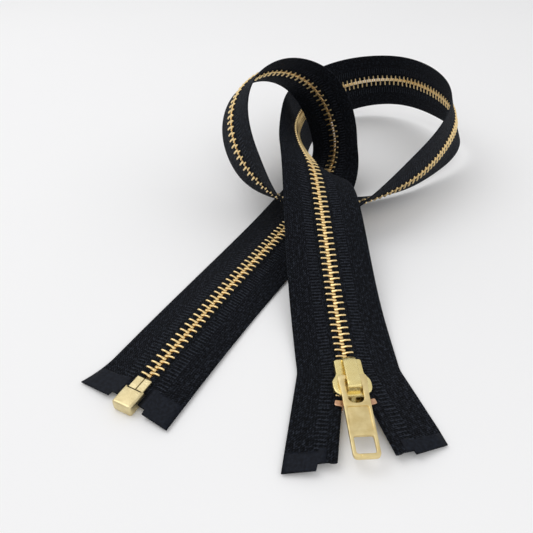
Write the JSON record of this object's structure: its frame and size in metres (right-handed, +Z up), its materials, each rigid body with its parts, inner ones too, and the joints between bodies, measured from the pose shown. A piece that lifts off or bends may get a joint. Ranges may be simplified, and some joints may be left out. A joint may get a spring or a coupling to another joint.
{
  "type": "zipper",
  "caption": "Closed separating zipper with metal teeth on woven tapes, laid in a looped ribbon, with a slider and flat pull at one end and a retainer box at the other",
  "frame": {"origin": "middle of the slider's underside, on the surface that the zipper lies on", "axes": "+Y along the closed chain away from the slider's wide end, +X to the right of the slider, +Z up from the surface"},
  "size_m": [0.1623, 0.2319, 0.0594],
  "materials": {
    "tape": "matte black woven twill",
    "film": "black tape with a thin heat-sealed film",
    "teeth": "pale polished brass",
    "slider": "satin brass",
    "stop": "copper-brown brass",
    "box": "satin antique brass"
  },
  "bodies": {
    "chain": {"left_tape_1": "tape", "left_tape_2": "tape", "left_tape_3": "tape", "left_tape_4": "tape", "left_tape_5": "tape", "left_tape_6": "tape", "left_tape_7": "tape", "left_tape_8": "tape", "left_teeth_1": "teeth", "left_teeth_2": "teeth", "left_teeth_3": "teeth", "left_teeth_4": "teeth", "left_teeth_5": "teeth", "left_teeth_6": "teeth", "left_teeth_7": "teeth", "left_teeth_8": "teeth", "left_bead": "tape", "left_bottom_film": "film", "right_tape_1": "tape", "right_tape_2": "tape", "right_tape_3": "tape", "right_tape_4": "tape", "right_tape_5": "tape", "right_tape_6": "tape", "right_tape_7": "tape", "right_tape_8": "tape", "right_teeth_1": "teeth", "right_teeth_2": "teeth", "right_teeth_3": "teeth", "right_teeth_4": "teeth", "right_teeth_5": "teeth", "right_teeth_6": "teeth", "right_teeth_7": "teeth", "right_teeth_8": "teeth", "right_bead": "tape", "right_bottom_film": "film", "insertion_pin": "box", "retainer_pin": "box", "retainer_box": "box"},
    "left_flap": {"left_tape_top": "tape", "left_bead_top": "tape", "left_teeth_top": "teeth", "left_top_stop": "stop", "left_top_film": "film"},
    "right_flap": {"right_tape_top": "tape", "right_bead_top": "tape", "right_teeth_top": "teeth", "right_top_stop": "stop", "right_top_film": "film"},
    "slider": {"slider_body": "slider", "slider_bridge": "slider", "lock_pawl": "slider"},
    "pull": {"pull_tab": "slider"}
  },
  "joints": [
    {"name": "slider_travel", "type": "slide", "parent": "chain", "child": "slider", "axis": [0, 1, 0], "range_m": [0, 0.02]},
    {"name": "left_opening", "type": "hinge", "parent": "chain", "child": "left_flap", "pos_m": [0, 0.032, 0.0028], "axis": [0, 0, -1], "range_deg": [0, 4.5], "deforming": ["left_tape_top", "left_bead_top", "left_teeth_top", "left_top_stop", "left_top_film"]},
    {"name": "right_opening", "type": "hinge", "parent": "chain", "child": "right_flap", "pos_m": [0, 0.032, 0.0028], "axis": [0, 0, 1], "range_deg": [0, 5], "deforming": ["right_tape_top", "right_bead_top", "right_teeth_top", "right_top_stop", "right_top_film"]},
    {"name": "pull_swing", "type": "hinge", "parent": "slider", "child": "pull", "pos_m": [0, -0.0015, 0.0068], "axis": [-1, 0, 0], "range_deg": [0, 170]}
  ],
  "couplings": [
    {"joint": "left_opening", "follows": "slider_travel", "rad_per_m": 3.76},
    {"joint": "right_opening", "follows": "slider_travel", "rad_per_m": 4.15}
  ]
}
